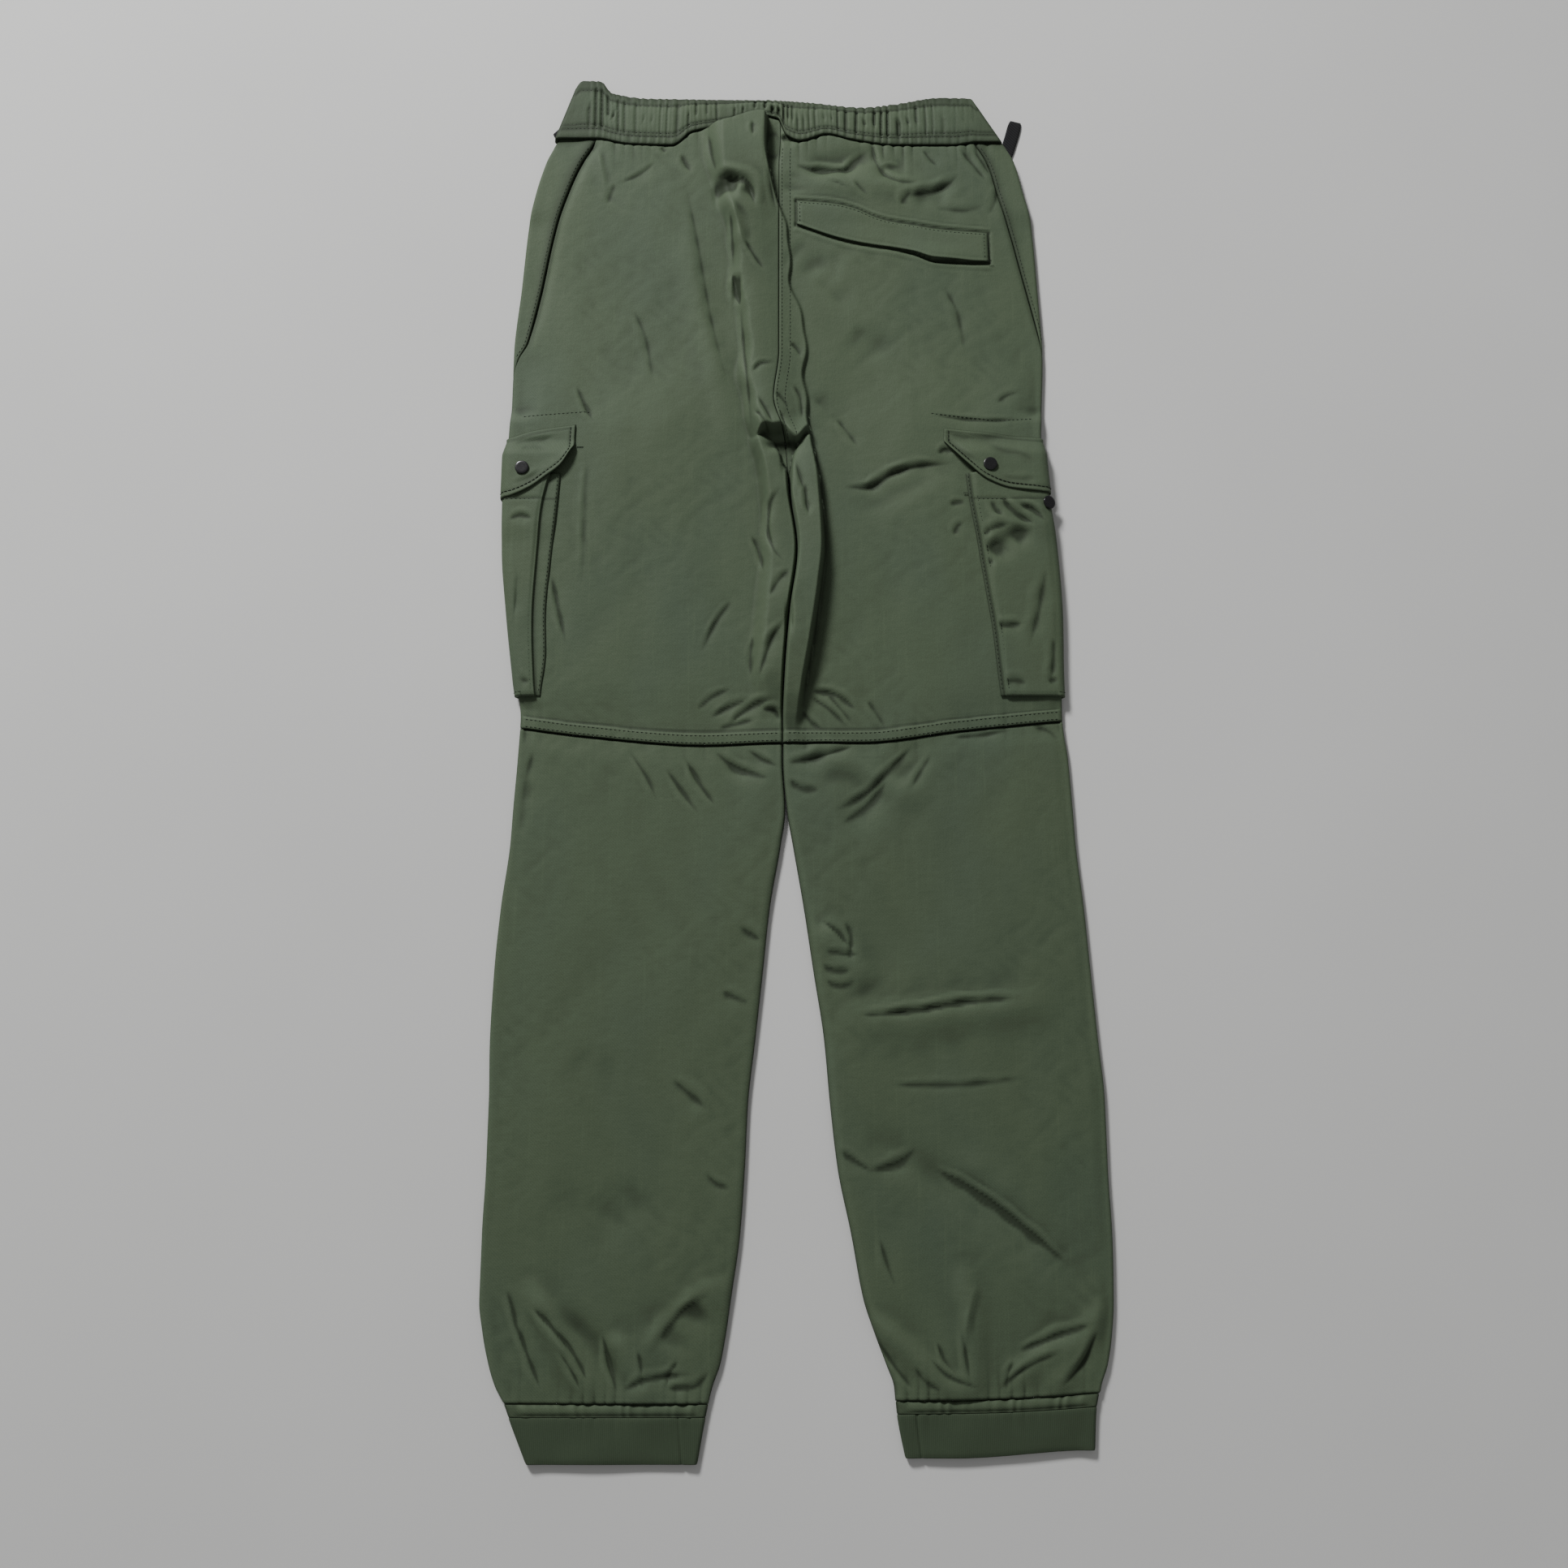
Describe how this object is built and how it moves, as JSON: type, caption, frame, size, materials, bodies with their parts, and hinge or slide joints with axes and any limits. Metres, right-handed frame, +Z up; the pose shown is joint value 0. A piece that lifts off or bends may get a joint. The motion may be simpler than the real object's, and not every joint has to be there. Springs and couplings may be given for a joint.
{
  "type": "cargo pants, laid flat with the back up",
  "caption": "Cargo trousers with a gathered waistband, one back welt pocket, two flapped cargo pockets, knee seams and banded cuffs, laid flat.",
  "frame": {"origin": "on the floor under the middle of the garment's box", "axes": "+Z up from the floor, out of the garment's back; +Y towards the waist; +X to the right as seen from above"},
  "size_m": [0.442, 1.05, 0.0217],
  "materials": {
    "cloth": "olive green cotton satin",
    "cuff_cloth": "dark green stretch cloth",
    "snap_metal": "gloss black",
    "tape": "black woven tape"
  },
  "bodies": {
    "root": {"waistband": "cloth", "back_upper_left": "cloth", "back_upper_right": "cloth", "front_upper_left": "cloth", "front_upper_right": "cloth", "back_lower_left": "cloth", "back_lower_right": "cloth", "front_lower_left": "cloth", "front_lower_right": "cloth", "leg_hem_left": "cloth", "leg_hem_right": "cloth", "cuff_left": "cuff_cloth", "cuff_right": "cuff_cloth", "cargo_pocket_left": "cloth", "cargo_pocket_right": "cloth", "cargo_flap_left": "cloth", "cargo_flap_right": "cloth", "flap_snap_left": "snap_metal", "flap_snap_right": "snap_metal", "pocket_stud_right": "snap_metal", "back_pocket_welt": "cloth", "drawstring_left": "tape", "drawstring_right": "tape"}
  },
  "joints": []
}
